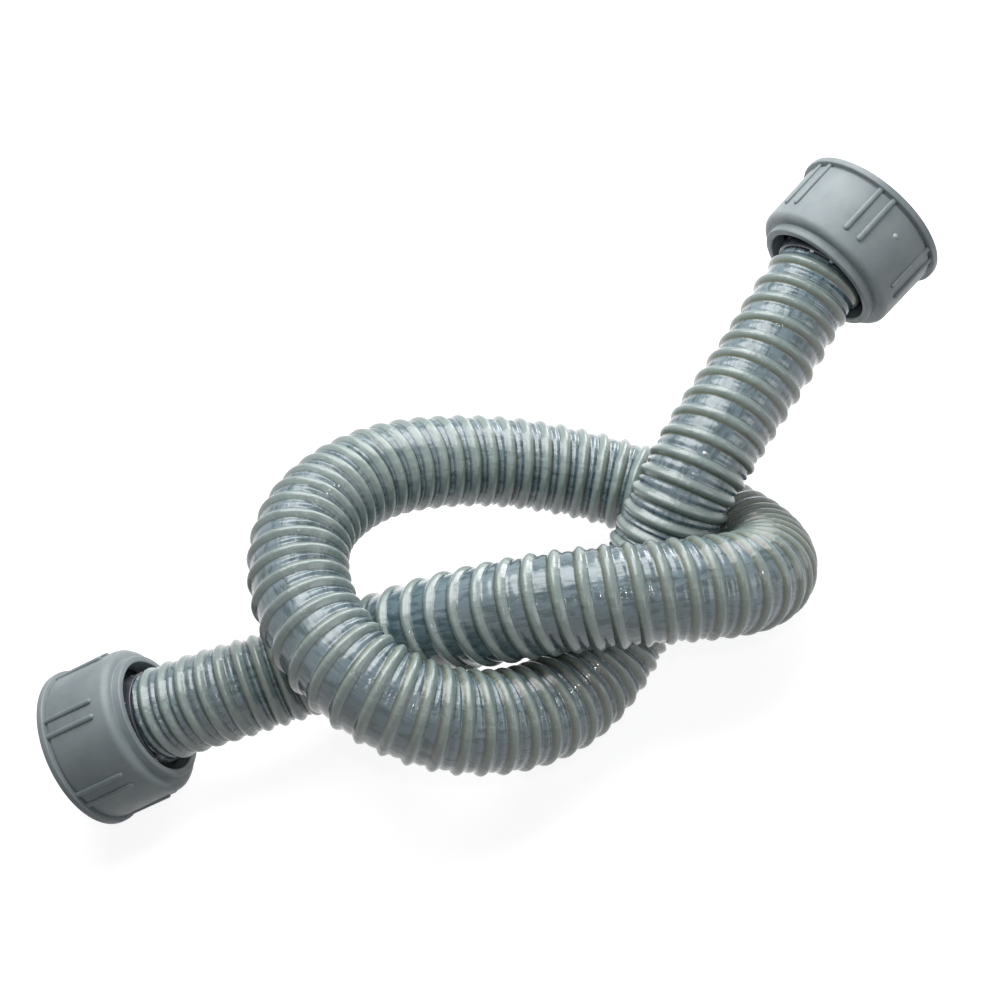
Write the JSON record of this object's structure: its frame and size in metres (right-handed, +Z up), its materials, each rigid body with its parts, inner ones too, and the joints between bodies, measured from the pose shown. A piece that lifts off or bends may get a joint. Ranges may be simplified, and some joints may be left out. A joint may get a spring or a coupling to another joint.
{
  "type": "flexible sink trap",
  "caption": "Flexible waste hose with a helical bead, tied in a loose overhand knot, with a flanged tail, a loose union nut and a sealing washer at each end.",
  "frame": {"origin": "on the ground, under the middle of the part's box", "axes": "+Z up, +X from nut a's end towards nut b's end, the picture looks along +Y and down"},
  "size_m": [0.3603, 0.1591, 0.1148],
  "materials": {
    "hose_pvc": "glossy translucent grey PVC with a paler olive bead",
    "tail_pvc": "smooth dark grey PVC",
    "nut_plastic": "satin moulded grey plastic",
    "washer_rubber": "matte black rubber"
  },
  "bodies": {
    "hose_run": {"hose": "hose_pvc", "tail_a": "tail_pvc", "tail_b": "tail_pvc"},
    "union_a": {"nut_a": "nut_plastic", "washer_a": "washer_rubber"},
    "union_b": {"nut_b": "nut_plastic", "washer_b": "washer_rubber"}
  },
  "joints": [
    {"name": "nut_a_spin", "type": "hinge", "parent": "hose_run", "child": "union_a", "pos_m": [-0.17377, 0.00412, 0.02935], "axis": [-0.9757, 0.1091, -0.1903], "continuous": true},
    {"name": "nut_b_spin", "type": "hinge", "parent": "hose_run", "child": "union_b", "pos_m": [0.1674, 0.05195, 0.08567], "axis": [0.902, 0.3673, 0.2268], "continuous": true}
  ]
}
